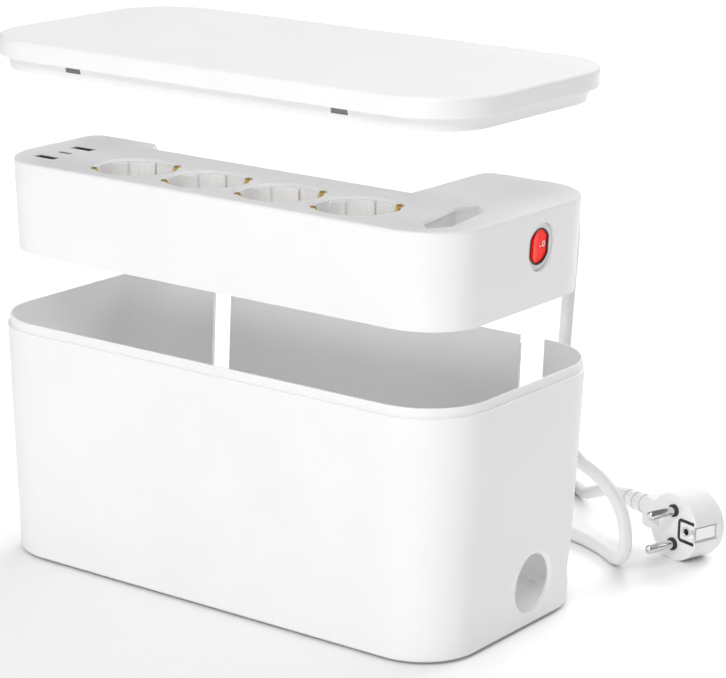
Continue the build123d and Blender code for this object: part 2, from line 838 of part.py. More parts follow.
bezel_plane = switch_plane.offset(-dish_depth)
aperture_floor = bezel_thickness - aperture_depth
axle_plane = Plane(
    switch_plane.offset(-rocker_axle_depth).origin,
    x_dir=switch_plane.y_dir,
    z_dir=switch_plane.x_dir,
)
with BuildPart() as switch_housing:
    with BuildSketch(bezel_plane):
        Circle(bezel_radius)
    extrude(amount=bezel_thickness)
    fillet(switch_housing.edges().sort_by(Axis.X)[-1], bezel_edge)
    with BuildSketch(switch_plane.offset(-switch_body_depth)):
        Circle(switch_body_radius)
    extrude(amount=switch_body_depth - dish_depth)
    extrude(
        aperture_outline(bezel_plane.offset(aperture_floor), 0, 0),
        amount=aperture_depth,
        mode=Mode.SUBTRACT,
    )
    # bearing holes of the rocker's axle
    axle_half = aperture_radius + rocker_axle_reach + rocker_axle_play
    with BuildSketch(
        Plane(
            switch_plane.from_local_coords((0, -axle_half, -rocker_axle_depth)),
            x_dir=switch_plane.x_dir,
            z_dir=switch_plane.y_dir,
        )
    ):
        Circle(rocker_axle_radius + rocker_axle_play)
    extrude(amount=2 * axle_half, mode=Mode.SUBTRACT)
switch_housing.part.label = "switch_housing"
export_step(switch_housing.part, "parts/switch_housing.step")

# at rest the rocker is tipped with its near half raised
tilt = radians(rocker_tilt)
axle_origin = switch_plane.from_local_coords((0, 0, -rocker_axle_depth))
rocker_plane = Plane(
    axle_origin,
    x_dir=switch_plane.x_dir * cos(tilt) - switch_plane.z_dir * sin(tilt),
    z_dir=switch_plane.z_dir * cos(tilt) + switch_plane.x_dir * sin(tilt),
)
rocker_half = aperture_half_width - rocker_side_play
with BuildPart() as switch_rocker:
    extrude(
        aperture_outline(rocker_plane.offset(-rocker_back), rocker_side_play, rocker_end_play),
        amount=rocker_back + rocker_valley + rocker_rise,
    )
    # shallow V across the face
    with BuildSketch(Plane(axle_origin, x_dir=rocker_plane.x_dir, z_dir=rocker_plane.y_dir * -1)):
        with BuildLine():
            Polyline(
                (-rocker_half, rocker_valley + rocker_rise),
                (0, rocker_valley),
                (rocker_half, rocker_valley + rocker_rise),
                (rocker_half, 3 * rocker_valley),
                (-rocker_half, 3 * rocker_valley),
                close=True,
            )
        make_face()
    extrude(amount=aperture_radius, both=True, mode=Mode.SUBTRACT)
    axle_end = aperture_radius + rocker_axle_reach
    with BuildSketch(
        Plane(
            rocker_plane.from_local_coords((0, -axle_end, 0)),
            x_dir=rocker_plane.x_dir,
            z_dir=rocker_plane.y_dir,
        )
    ):
        Circle(rocker_axle_radius)
    extrude(amount=2 * axle_end)
switch_rocker.part.label = "switch_rocker"
export_step(switch_rocker.part, "parts/switch_rocker.step")

with BuildPart() as switch_terminals:
    with BuildSketch(switch_plane.offset(-switch_body_depth)):
        with GridLocations(terminal_pitch, 0, terminal_count, 1):
            Rectangle(terminal_thickness, terminal_width)
    extrude(amount=-terminal_length)
switch_terminals.part.label = "switch_terminals"
export_step(switch_terminals.part, "parts/switch_terminals.step")

# ---- mains cord

with BuildPart() as cord_gland:
    with BuildSketch(gland_plane.offset(-gland_inside)):
        Circle(gland_radius)
    extrude(amount=gland_inside)
    with BuildSketch(gland_plane.offset(-strip_wall - gland_collar - gland_collar_gap)):
        Circle(gland_collar_radius)
    extrude(amount=gland_collar)
    with BuildSketch(gland_plane):
        Circle(gland_radius)
    with BuildSketch(gland_plane.offset(gland_outside)):
        Circle(gland_tip_radius)
    loft()
cord_gland.part.label = "cord_gland"
export_step(cord_gland.part, "parts/cord_gland.step")


def bend_radii(points):
    # each arc takes 0.45 of the shorter run beside it
    radii = []
    for before, here, after in zip(points, points[1:], points[2:]):
        arriving = Vector(here) - Vector(before)
        leaving = Vector(after) - Vector(here)
        half_turn = radians(arriving.get_angle(leaving)) / 2
        radii.append(0.45 * min(arriving.length, leaving.length) / tan(half_turn))
    return radii


def cord_tube(name, points, radii):
    # straight runs joined by tangent arcs
    start = Vector(points[0])
    with BuildPart() as tube:
        with BuildLine() as path:
            FilletPolyline(*points, radius=radii)
        with BuildSketch(Plane(start, z_dir=Vector(points[1]) - start)):
            Circle(cord_radius)
        sweep()
    length = path.wires()[0].length
    print(name, "length", round(length, 1), "radii", [round(r, 1) for r in radii])
    print("  volume", round(tube.part.volume), "against", round(pi * cord_radius**2 * length))
    tube.part.label = name
    export_step(tube.part, f"parts/{name}.step")
    return length


plug_turn = radians(plug_angle)
plug_plane = Plane(
    (plug_x, plug_y, plug_radius),
    x_dir=(sin(plug_turn), -cos(plug_turn), 0),
    z_dir=(cos(plug_turn), sin(plug_turn), 0),
)
grip_axis = grip_width / 2 - plug_back
relief_end = grip_reach + relief_length
gland_tip = gland_plane.from_local_coords((0, 0, gland_outside))
relief_tip = plug_plane.from_local_coords((relief_end, 0, grip_axis))
whole_route = (tuple(gland_tip), *lead_route, *table_route)
whole_radii = bend_radii(whole_route)
shared_run = Vector(table_route[0]) - Vector(lead_route[-1])
lead_joint = tuple(Vector(lead_route[-1]) + shared_run * lead_share)
bends = len(lead_route)
plug_points = (tuple(relief_tip), *plug_route)
free_length = sum(
    cord_tube(name, points, radii)
    for name, points, radii in (
        ("strip_lead", (*whole_route[: bends + 1], lead_joint), whole_radii[:bends]),
        ("table_cord", (lead_joint, *table_route), whole_radii[bends:]),
        ("plug_cord", plug_points, bend_radii(plug_points)),
    )
)
coil_length = coil_turns * 2 * pi * coil_radius
print("cord", round(free_length + coil_length), "mm, of it in the coil", round(coil_length))

with BuildPart() as cord_coil:
    with BuildSketch():
        with Locations((coil_x, coil_y)):
            Circle(coil_radius + coil_width / 2)
            Circle(coil_radius - coil_width / 2, mode=Mode.SUBTRACT)
    extrude(amount=coil_height)
    fillet(cord_coil.edges(), cord_radius)
cord_coil.part.label = "cord_coil"
export_step(cord_coil.part, "parts/cord_coil.step")

# ---- angled mains plug lying on its edge, local X to the cord and local Z along the pins

pin_places = ((0, pin_spacing / 2), (0, -pin_spacing / 2))
notch_floor = plug_radius - plug_notch_depth
grip_front = grip_width - plug_back
with BuildPart() as plug_body:
    with BuildSketch(plug_plane.offset(-plug_back)):
        Circle(plug_radius)
    extrude(amount=plug_back + plug_face)
    fillet(plug_body.edges().filter_by(GeomType.CIRCLE).sort_by(Axis.Y)[-1], plug_back_edge)
    # grip that leads to the cord
    with BuildSketch(plug_plane.offset(-plug_back)):
        with Locations((grip_reach / 2, 0)):
            RectangleRounded(grip_reach, grip_width, grip_edge)
    extrude(amount=grip_width)
    # side notches of the earth clips, at the free end and above the grip
    for side, notch_start in ((-1, -plug_notch_back), (1, grip_front)):
        with BuildSketch(plug_plane.offset(notch_start)):
            with Locations((side * (notch_floor + plug_notch_depth), 0)):
                Rectangle(2 * plug_notch_depth, plug_notch_width)
        extrude(amount=plug_face - notch_start, mode=Mode.SUBTRACT)
    # bores of the pins and of the earth contact
    with BuildSketch(plug_plane.offset(plug_face - plug_pin_seat)):
        with Locations(*pin_places):
            Circle(plug_pin_radius + pin_seat_play)
    extrude(amount=plug_pin_seat, mode=Mode.SUBTRACT)
    with BuildSketch(plug_plane.offset(plug_face - plug_earth_depth)):
        with Locations((-plug_earth_offset, 0)):
            Circle(plug_earth_radius + pin_seat_play)
    extrude(amount=plug_earth_depth, mode=Mode.SUBTRACT)
plug_body.part.label = "plug_body"
export_step(plug_body.part, "parts/plug_body.step")

with BuildPart() as plug_pins:
    with BuildSketch(plug_plane.offset(plug_face - plug_pin_seat)):
        with Locations(*pin_places):
            Circle(plug_pin_radius)
    extrude(amount=plug_pin_seat + plug_pin_length)
    fillet(plug_pins.edges().filter_by(GeomType.CIRCLE).group_by(Axis.Y)[0], plug_pin_tip)
plug_pins.part.label = "plug_pins"
export_step(plug_pins.part, "parts/plug_pins.step")

with BuildPart() as plug_pin_collars:
    with BuildSketch(plug_plane.offset(plug_face)):
        with Locations(*pin_places):
            Circle(plug_collar_radius)
            Circle(plug_pin_radius + pin_seat_play, mode=Mode.SUBTRACT)
    extrude(amount=plug_collar_length)
plug_pin_collars.part.label = "plug_pin_collars"
export_step(plug_pin_collars.part, "parts/plug_pin_collars.step")

with BuildPart() as plug_earth_contacts:
    for side, clip_start in ((-1, -plug_notch_back), (1, grip_front)):
        with BuildSketch(plug_plane.offset(clip_start)):
            with Locations((side * (notch_floor + plug_clip_sheet / 2), 0)):
                Rectangle(plug_clip_sheet, plug_clip_width)
        extrude(amount=plug_face - plug_clip_drop - clip_start)
    with BuildSketch(plug_plane.offset(plug_face - plug_earth_depth)):
        with Locations((-plug_earth_offset, 0)):
            Circle(plug_earth_radius)
    extrude(amount=plug_earth_depth)
    with BuildSketch(plug_plane.offset(plug_face - plug_earth_depth + plug_clip_sheet)):
        with Locations((-plug_earth_offset, 0)):
            Circle(plug_earth_radius - plug_clip_sheet)
    extrude(amount=plug_earth_depth, mode=Mode.SUBTRACT)
plug_earth_contacts.part.label = "plug_earth_contacts"
export_step(plug_earth_contacts.part, "parts/plug_earth_contacts.step")

relief_plane = Plane(
    plug_plane.from_local_coords((grip_reach, 0, grip_axis)),
    x_dir=plug_plane.x_dir,
    z_dir=plug_plane.z_dir,
)
with BuildPart() as plug_relief:
    with BuildSketch(relief_plane):
        with BuildLine():
            Polyline(
                (0, 0),
                (0, relief_start_radius),
                (relief_length, relief_end_radius),
                (relief_length, 0),
                close=True,
            )
        make_face()
    revolve(axis=Axis(relief_plane.origin, relief_plane.x_dir))
    # ring grooves that let it bend
    for ring in range(1, relief_groove_count + 1):
        groove_x = ring * relief_length / (relief_groove_count + 1)
        groove_radius = relief_start_radius - (relief_start_radius - relief_end_radius) * (
            groove_x / relief_length
        )
        with BuildSketch(relief_plane):
            with Locations((groove_x, groove_radius)):
                Rectangle(relief_groove_width, 2 * relief_groove_depth)
        revolve(axis=Axis(relief_plane.origin, relief_plane.x_dir), mode=Mode.SUBTRACT)
plug_relief.part.label = "plug_relief"
export_step(plug_relief.part, "parts/plug_relief.step")
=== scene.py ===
import math

import bpy
import numpy as np
from mathutils import Matrix, Vector


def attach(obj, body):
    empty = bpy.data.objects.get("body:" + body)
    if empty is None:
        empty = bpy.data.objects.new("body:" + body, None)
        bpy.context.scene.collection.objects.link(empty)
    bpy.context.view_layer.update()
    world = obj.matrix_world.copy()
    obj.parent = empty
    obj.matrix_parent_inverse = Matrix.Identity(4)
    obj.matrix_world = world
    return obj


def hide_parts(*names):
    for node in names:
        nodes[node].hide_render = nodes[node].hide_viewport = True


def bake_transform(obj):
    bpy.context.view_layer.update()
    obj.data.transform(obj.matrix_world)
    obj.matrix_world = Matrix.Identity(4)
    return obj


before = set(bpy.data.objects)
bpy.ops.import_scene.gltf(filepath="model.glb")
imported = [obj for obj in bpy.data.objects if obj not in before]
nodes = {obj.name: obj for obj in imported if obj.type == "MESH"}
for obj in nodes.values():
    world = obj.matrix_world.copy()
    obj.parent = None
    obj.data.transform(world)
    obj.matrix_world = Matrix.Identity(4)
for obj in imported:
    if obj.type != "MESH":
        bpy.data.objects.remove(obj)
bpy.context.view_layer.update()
scene = bpy.context.scene
millimetre = 0.001
print("frame loaded,", len(nodes), "nodes")


# camera, floor and light

view = {
    "position": (0.8287, -1.0757, 0.5031),
    "target": (0.02946, 0.02429, 0.12847),
    "roll": 0.016,  # radians
    "lens": 134.36,
    "sensor": 36,
    "clip": (0.05, 60),
}


def makeCamera():
    # the camera looks from position to target and is rolled about its own axis
    position = Vector(view["position"])
    ahead = (Vector(view["target"]) - position).normalized()
    level = ahead.cross(Vector((0, 0, 1))).normalized()
    upright = level.cross(ahead)
    c, s = math.cos(view["roll"]), math.sin(view["roll"])
    right = c * level + s * upright
    up = -s * level + c * upright
    data = bpy.data.cameras.new("camera")
    data.lens = view["lens"]
    data.sensor_width = view["sensor"]
    data.sensor_fit = "HORIZONTAL"
    data.clip_start, data.clip_end = view["clip"]
    camera = bpy.data.objects.new("camera", data)
    turned = Matrix((right, up, -ahead)).transposed().to_4x4()
    camera.matrix_world = Matrix.Translation(position) @ turned
    scene.collection.objects.link(camera)
    scene.camera = camera


studio = {
    "floorSize": 40,
    "floorColour": "fafafa",
    "floorRoughness": 0.9,
    "world": ("ffffff", 0.22),
    # the rear lamp would show as a bright patch on the tops
    "unreflected": ("softRear",),
    # name, place, point it faces, size, power in watts
    "lamps": (
        ("softHigh", (0.5, -1.75, 1.7), (0, 0, 0.15), (1.4, 0.7), 22.5),
        ("softLow", (0.3, -2.5, 0.42), (0, 0, 0.15), (2.2, 0.5), 15),
        ("softRear", (-0.2, 2.2, 1.2), (0, 0.1, 0.2), (2.4, 1.2), 60),
        ("softTop", (0, 0.1, 2.6), (0, 0, 0.15), (2.2, 2.2), 26),
    ),
}


def linearColour(code):
    # sRGB hex code to linear red, green, blue and a full alpha
    part = np.array([int(code[i : i + 2], 16) for i in (0, 2, 4)]) / 255
    value = np.where(part <= 0.04045, part / 12.92, ((part + 0.055) / 1.055) ** 2.4)
    return (*value.tolist(), 1.0)


def makeStudio():
    scene.view_settings.view_transform = "Standard"
    world = bpy.data.worlds.new("studioWorld")
    world.use_nodes = True
    code, strength = studio["world"]
    background = world.node_tree.nodes["Background"]
    background.inputs["Color"].default_value = linearColour(code)
    background.inputs["Strength"].default_value = strength
    scene.world = world
    half = studio["floorSize"] / 2
    corners = [(-half, -half, 0), (half, -half, 0), (half, half, 0), (-half, half, 0)]
    mesh = bpy.data.meshes.new("studioFloor")
    mesh.from_pydata(corners, [], [(0, 1, 2, 3)])
    floor = bpy.data.objects.new("studioFloor", mesh)
    scene.collection.objects.link(floor)
    paper = bpy.data.materials.new("backgroundPaper")
    paper.use_nodes = True
    shader = paper.node_tree.nodes["Principled BSDF"]
    shader.inputs["Base Color"].default_value = linearColour(studio["floorColour"])
    shader.inputs["Roughness"].default_value = studio["floorRoughness"]
    mesh.materials.append(paper)
    for name, place, aim, size, power in studio["lamps"]:
        data = bpy.data.lights.new(name, "AREA")
        data.shape = "RECTANGLE"
        data.size, data.size_y = size
        data.energy = power
        lamp = bpy.data.objects.new(name, data)
        lamp.visible_glossy = name not in studio["unreflected"]
        lamp.location = place
        lamp.rotation_euler = (Vector(aim) - Vector(place)).to_track_quat("-Z", "Y").to_euler()
        scene.collection.objects.link(lamp)


makeCamera()
makeStudio()
print("camera, floor and lamps made")


# materials

# sizes and depths in millimetres; stray is how far the roughness leaves its middle value,
# bump is the strength of the relief, and detail counts the noise's finer layers
finishes = {
    "moulded": {"waveSize": 45, "stray": 0.04, "bump": 0.35},
    "drawn": {"depth": 0.02, "stray": 0.07, "bump": 0.3, "detail": 4},
    # endToEnd: lines one after another in 100 mm of cord
    "extruded": {"depth": 0.05, "stray": 0.05, "bump": 0.4, "detail": 3, "endToEnd": 60},
    "laminate": {"depth": 0.05, "bump": 0.5, "trackPitch": 6, "trackWidth": 0.06},
    # values of the pattern at which each of the two colours is pure
    "tintRange": (0.3, 0.7),
}


def addNode(tree, kind, settings=None, values=None, links=None):
    # adds a node, sets its properties and sockets, and links (node, output) pairs to its inputs
    node = tree.nodes.new(kind)
    for key, value in (settings or {}).items():
        setattr(node, key, value)
    for key, value in (values or {}).items():
        node.inputs[key].default_value = value
    for key, (source, output) in (links or {}).items():
        tree.links.new(source.outputs[output], node.inputs[key])
    return node


def newMaterial(name, constants):
    # a material with the values that are the same all over it, its node tree and its shader
    material = bpy.data.materials.new(name)
    material.use_nodes = True
    shader = material.node_tree.nodes["Principled BSDF"]
    for key, value in constants.items():
        shader.inputs[key].default_value = value
    return material, material.node_tree, shader


def finish(tree, shader, tone, grain, codes, roughness, depth, way):
    # the tone pattern, from 0 to 1, mixes two close colours; the grain pattern spreads the
    # roughness about its middle and raises and sinks the surface
    ramp = addNode(tree, "ShaderNodeValToRGB", {}, {}, {"Fac": tone})
    for element, code, place in zip(ramp.color_ramp.elements, codes, finishes["tintRange"]):
        element.color = linearColour(code)
        element.position = place
    limits = {"To Min": roughness - way["stray"], "To Max": roughness + way["stray"]}
    spread = addNode(tree, "ShaderNodeMapRange", {}, limits, {"Value": grain})
    heights = {"Distance": depth * millimetre, "Strength": way["bump"]}
    relief = addNode(tree, "ShaderNodeBump", {}, heights, {"Height": grain})
    tree.links.new(ramp.outputs["Color"], shader.inputs["Base Color"])
    tree.links.new(spread.outputs["Result"], shader.inputs["Roughness"])
    tree.links.new(relief.outputs["Normal"], shader.inputs["Normal"])


def mouldedPlastic(name, codes, roughness, grainSize, depth, ior):
    # injection moulded: a spark-eroded tool leaves a fine even grain and a soft sheen, and the
    # melt cools with slow, barely visible waves
    way = finishes["moulded"]
    material, tree, shader = newMaterial(name, {"IOR": ior})
    place = (addNode(tree, "ShaderNodeTexCoord"), "Object")
    scales = [{"Scale": 1 / (size * millimetre)} for size in (grainSize, way["waveSize"])]
    grain, waves = (
        addNode(tree, "ShaderNodeTexNoise", {}, scale, {"Vector": place}) for scale in scales
    )
    finish(tree, shader, (waves, "Fac"), (grain, "Fac"), codes, roughness, depth, way)
    return material


def drawnMetal(name, codes, roughness, lineWidth, stretch):
    # rolled, drawn or turned metal: fine lines along one way break up the highlight
    way = finishes["drawn"]
    material, tree, shader = newMaterial(name, {"Metallic": 1.0})
    place = (addNode(tree, "ShaderNodeTexCoord"), "Object")
    along = addNode(tree, "ShaderNodeMapping", {}, {"Scale": stretch}, {"Vector": place})
    values = {"Scale": 1 / (lineWidth * millimetre), "Detail": way["detail"]}
    lines = addNode(tree, "ShaderNodeTexNoise", {}, values, {"Vector": (along, "Vector")})
    finish(tree, shader, (lines, "Fac"), (lines, "Fac"), codes, roughness, way["depth"], way)
    return material


def extrudedPvc(name, codes, roughness, lineCount, ior):
    # a cord's jacket drawn through a die: matt, with faint lines along its length
    way = finishes["extruded"]
    material, tree, shader = newMaterial(name, {"IOR": ior})
    place = (addNode(tree, "ShaderNodeUVMap", {"uv_map": "lay"}), "UV")
    scale = {"Scale": (lineCount, way["endToEnd"], 1)}
    along = addNode(tree, "ShaderNodeMapping", {}, scale, {"Vector": place})
    values = {"Scale": 1.0, "Detail": way["detail"]}
    lines = addNode(tree, "ShaderNodeTexNoise", {}, values, {"Vector": (along, "Vector")})
    finish(tree, shader, (lines, "Fac"), (lines, "Fac"), codes, roughness, way["depth"], way)
    return material


def circuitLaminate(name, codes, roughness, ior):
    # glass-filled laminate under green solder resist, with copper tracks showing through
    way = finishes["laminate"]
    material, tree, shader = newMaterial(name, {"IOR": ior, "Roughness": roughness})
    place = (addNode(tree, "ShaderNodeTexCoord"), "Object")
    values = {"Scale": 1 / (way["trackPitch"] * millimetre), "Mortar Size": way["trackWidth"]}
    values.update(zip(("Color1", "Color2", "Mortar"), map(linearColour, codes)))
    tracks = addNode(tree, "ShaderNodeTexBrick", {"offset": 0.5}, values, {"Vector": place})
    heights = {"Distance": way["depth"] * millimetre, "Strength": way["bump"]}
    relief = addNode(tree, "ShaderNodeBump", {}, heights, {"Height": (tracks, "Fac")})
    tree.links.new(tracks.outputs["Color"], shader.inputs["Base Color"])
    tree.links.new(relief.outputs["Normal"], shader.inputs["Normal"])
    return material


# two colours, roughness, grain size and depth in millimetres, IOR; a real tool's grain is about
# 0.2 mm and is drawn coarser here, so that it shows
plastics = {
    "shellAbs": (("efefef", "f2f2f2"), 0.42, 0.8, 0.02, 1.53),
    "lidAbs": (("efefef", "f2f2f2"), 0.38, 0.8, 0.02, 1.53),
    "stripAbs": (("efefef", "f2f2f2"), 0.36, 0.8, 0.015, 1.53),
    # polished tools, with clear highlights; the sockets' whiter colour is painted light,
    # brightening them against the shade in their recesses
    "socketPolycarbonatePaintedLight": (("f8f8f8", "fafafa"), 0.24, 1.2, 0.01, 1.58),
    "bezelNylon": (("dfe2e4", "e4e7e9"), 0.3, 0.8, 0.01, 1.53),
    "rockerPolycarbonate": (("f01a0a", "fa2412"), 0.28, 1.5, 0.005, 1.4),
    # soft or filled grades: matt, with no clear highlight
    "plugElastomer": (("e6e6e6", "eaeaea"), 0.45, 0.6, 0.03, 1.5),
    # black nylon for the contact carriers and the rocker's liner; on the plug's face the same
    # black is painted shade
    "blackNylonAndPaintedShade": (("111112", "19191a"), 0.45, 0.5, 0.02, 1.53),
    "footRubber": (("3a3a3b", "454546"), 0.75, 0.5, 0.08, 1.5),
    # painted shade: the latches' dark grey stands for the shade inside the lid skirt's windows
    "latchPaintedShade": (("767778", "808182"), 0.5, 0.5, 0.02, 1.5),
    "tieNylon": (("2a2b2d", "333437"), 0.7, 0.5, 0.12, 1.5),
    "markInk": (("fff2f0", "fff8f6"), 0.4, 0.5, 0.01, 1.5),
}
# two colours, roughness, line width in millimetres, stretch of the lines on each axis
metals = {
    "contactBrass": (("dcae38", "f0c655"), 0.26, 0.4, (1, 1, 0.1)),
    "plugNickel": (("d2d2d0", "e2e2e0"), 0.18, 0.3, (1, 0.12, 1)),
    "zincSteel": (("b4b7ba", "cdd0d3"), 0.3, 0.4, (1, 1, 0.1)),
}
# two colours, roughness, lines side by side round the jacket, IOR
jacket = (("e4e4e4", "e9e9e9"), 0.42, 40, 1.53)
# resist, resist between tracks and tracks, roughness, IOR
board = (("0f5a34", "0c4f2c", "2c8a4e"), 0.35, 1.55)
surfaces = {name: mouldedPlastic(name, *look) for name, look in plastics.items()}
surfaces.update({name: drawnMetal(name, *look) for name, look in metals.items()})
surfaces["cordPvc"] = extrudedPvc("cordPvc", *jacket)
surfaces["boardLaminate"] = circuitLaminate("boardLaminate", *board)

# painted glow: a red emission makes the rocker brighter, as if lit from inside, though no lamp
# is modelled in the switch; its specular is lowered too
rockerPaintedGlowAndSpecular = {
    "Emission Color": linearColour("ff1400"),
    "Emission Strength": 0.25,
    "Specular IOR Level": 0.3,
}
rockerShader = surfaces["rockerPolycarbonate"].node_tree.nodes["Principled BSDF"]
for socket, value in rockerPaintedGlowAndSpecular.items():
    rockerShader.inputs[socket].default_value = value

dressing = {
    "shellAbs": ("box_shell",),
    "lidAbs": ("lid",),
    "stripAbs": ("strip_top_cover", "strip_base"),
    "socketPolycarbonatePaintedLight": (*(f"socket_insert_{i}" for i in range(1, 5)), "euro_socket_insert"),
    "bezelNylon": ("switch_housing",),
    "rockerPolycarbonate": ("switch_rocker",),
    "plugElastomer": ("plug_body", "plug_relief"),
    "blackNylonAndPaintedShade": ("usb_a_tongue_1", "usb_a_tongue_2", "usb_c_tongue", "plug_pin_collars"),
    "footRubber": ("rubber_feet",),
    "contactBrass": (
        "live_bus_bar",
        "neutral_bus_bar",
        "earth_bus_bar",
        *(f"earth_clip_{i}" for i in range(1, 5)),
        "switch_terminals",
    ),
    "plugNickel": ("plug_pins", "plug_earth_contacts"),
    "zincSteel": ("base_screws", "usb_a_port_1", "usb_a_port_2", "usb_c_port"),
    "cordPvc": ("strip_lead", "table_cord", "cord_coil", "plug_cord"),
    "boardLaminate": ("usb_board",),
}
for surface, names in dressing.items():
    for name in names:
        nodes[name].data.materials.clear()
        nodes[name].data.materials.append(surfaces[surface])
print("materials made and put on the CAD nodes")


# meshes from numpy grids


def signedVolume(points, closedAlong):
    # six times the volume inside the grid, negative where its faces would point inwards: each
    # square and each cap is cut into triangles, and a triangle spans a pyramid to the middle
    place = points - points.mean((0, 1))
    if closedAlong:
        place = np.concatenate([place, place[:1]])
    else:
        first, last = place[:1].mean(1, keepdims=True), place[-1:].mean(1, keepdims=True)
        ones = np.ones((1, points.shape[1], 1))
        place = np.concatenate([first * ones, place, last * ones])
    a, b = place[:-1], place[1:]
    c, d = np.roll(b, -1, 1), np.roll(a, -1, 1)
    return (a * np.cross(b, c)).sum() + (a * np.cross(c, d)).sum()


def circle(steps):
    # angles at equal steps once round
    return np.arange(steps) / steps * 2 * np.pi


def directions(line, closed):
    # unit vectors along a line, from the neighbours of each point
    ahead = np.roll(line, -1, 0) - np.roll(line, 1, 0) if closed else np.gradient(line, axis=0)
    return ahead / np.linalg.norm(ahead, axis=1)[:, None]


def gridMesh(name, points, surface, closedAlong=False, uvSize=None, smooth=False):
    # points is rings x sides x 3; every ring is closed, and the ends are capped unless the
    # rings themselves close; sides that run the wrong way round are turned; the pattern goes
    # once round each ring and uvSize times along the rings
    if signedVolume(points, closedAlong) < 0:
        points = points[:, ::-1]
    rings, sides = points.shape[:2]
    ring = np.arange(rings if closedAlong else rings - 1)[:, None]
    side = np.arange(sides)[None, :]
    here, after, beside = ring * sides, (ring + 1) % rings * sides, (side + 1) % sides
    faces = np.stack([here + side, after + side, after + beside, here + beside], -1)
    faces = faces.reshape(-1, 4).tolist()
    if not closedAlong:
        faces.append(list(range(sides)))
        faces.append([(rings - 1) * sides + i for i in reversed(range(sides))])
    mesh = bpy.data.meshes.new(name)
    mesh.from_pydata(points.reshape(-1, 3).tolist(), [], faces)
    if uvSize:
        layer = mesh.uv_layers.new(name="lay")
        where = np.zeros((len(mesh.loops), 2))
        corners = 4 * sides * len(ring)
        u = (side + np.zeros_like(ring))[..., None] + np.array([0, 0, 1, 1])
        v = (ring + np.zeros_like(side))[..., None] + np.array([0, 1, 1, 0])
        where[:corners, 0] = u.ravel() / sides
        where[:corners, 1] = v.ravel() / (rings - 1) * uvSize
        layer.data.foreach_set("uv", where.ravel())
    mesh.polygons.foreach_set("use_smooth", np.full(len(mesh.polygons), smooth))
    mesh.materials.append(surfaces[surface])
    piece = bpy.data.objects.new(name, mesh)
    scene.collection.objects.link(piece)
    return piece


def evenly(points, step):
    # the same line with points at equal distances along it
    reach = np.concatenate([[0], np.cumsum(np.linalg.norm(np.diff(points, axis=0), axis=1))])
    count = int(reach[-1] / step) + 1
    where = np.linspace(0, reach[-1], count)
    return np.stack([np.interp(where, reach, points[:, k]) for k in range(3)], -1), reach[-1]


def tubeRings(line, radius, sides):
    # circle carried along the line and turned as little as possible: each ring's first way is
    # the last ring's, less its share along the line
    ahead = directions(line, False)
    across = np.zeros_like(line)
    across[0] = np.cross(ahead[0], (0, 0, 1))
    across[0] /= np.linalg.norm(across[0])
    for i in range(1, len(line)):
        step = across[i - 1] - ahead[i] * (across[i - 1] @ ahead[i])
        across[i] = step / np.linalg.norm(step)
    beyond = np.cross(ahead, across)
    turn = circle(sides)[:, None]
    ring = across[:, None] * np.cos(turn) + beyond[:, None] * np.sin(turn)
    return line[:, None] + ring * radius


# mains cord: one line from the gland to the plug, in millimetres

cord = {
    "radius": 3.5,
    "sides": 24,
    "step": 1.6,
    "patternsPerMetre": 10,
    "leadRoute": (
        (100.8, 83.82, 206.4),
        (100.8, 93.5, 206.4),
        (100.9, 102.2, 202.8),
        (101, 108.8, 196.2),
        (101.2, 112.4, 187.5),
        (101.4, 112.2, 176.5),
        (101.6, 110, 158),
        (101.9, 107, 131),
        (102.3, 104, 101),
        (104.5, 101.5, 79.5),
        (113, 100, 62),
        (131.5, 99.6, 55),
        (144.2, 99.9, 41),
        (147.1, 100.7, 28.4),
        (145.6, 104.3, 17.2),
        (140.3, 110.3, 8.4),
        (132.1, 117.5, 3.5),
        (118, 128, 3.5),
        (100, 136, 3.5),
        (76, 142.5, 3.5),
        (50, 147, 3.5),
        (28, 149.5, 3.5),
    ),
    "plugRoute": (
        (24, 226.4, 3.5),
        (37, 219.1, 3.5),
        (50, 210, 3.5),
        (64.5, 196, 6),
        (77, 185.5, 12.5),
        (89.723, 178.936, 18.5),
        (101.17, 175.33, 18.5),
    ),
    "coilMiddle": (8, 186.5),
    "innerRadius": 34.4,
    "columnStep": 7.2,
    "firstHeight": 3.5,
    "layer": 7.1,
    "turns": 4.5,
    "pointsPerTurn": 16,
    "nurbsOrder": 3,
    "nurbsSteps": 12,
    # turns at which the cord starts and ends each step: outward, up a layer, down a layer
    "stepOut": (2.5, 2.72),
    "stepsUp": ((0.7, 0.92), (1.72, 1.94)),
    "stepsDown": ((3.05, 3.3), (4.05, 4.3)),
    # the lead bends between the lifted strip and the cord that lies on the table
    "blendWay": (0.2, 0.64, -0.74),
    "blendReach": 181,
    "plugNodes": (
        "plug_body",
        "plug_pins",
        "plug_pin_collars",
        "plug_earth_contacts",
        "plug_relief",
    ),
}


def rise(u, start, end):
    # 0 before start, 1 after end and a smooth step between them
    t = np.clip((u - start) / (end - start), 0, 1)
    return t * t * (3 - 2 * t)


def coilPoints():
    # clockwise turns stacked in two columns: three layers up the inner column, then outward
    # over the top and down the outer column; u counts the turns. The smooth line is 6/8 of a
    # point and 1/8 of each neighbour, so the circle of points is drawn that much wider
    count = int(cord["turns"] * cord["pointsPerTurn"])
    u = (np.arange(count) + 0.5) / cord["pointsPerTurn"]
    angle = -np.pi / 2 - 2 * np.pi * u
    radius = cord["innerRadius"] + cord["columnStep"] * rise(u, *cord["stepOut"])
    radius /= (6 + 2 * math.cos(2 * np.pi / cord["pointsPerTurn"])) / 8
    layers = sum(rise(u, *step) for step in cord["stepsUp"])
    layers = layers - sum(rise(u, *step) for step in cord["stepsDown"])
    x, y = cord["coilMiddle"]
    height = cord["firstHeight"] + cord["layer"] * layers
    return np.stack([x + radius * np.cos(angle), y + radius * np.sin(angle), height], -1)


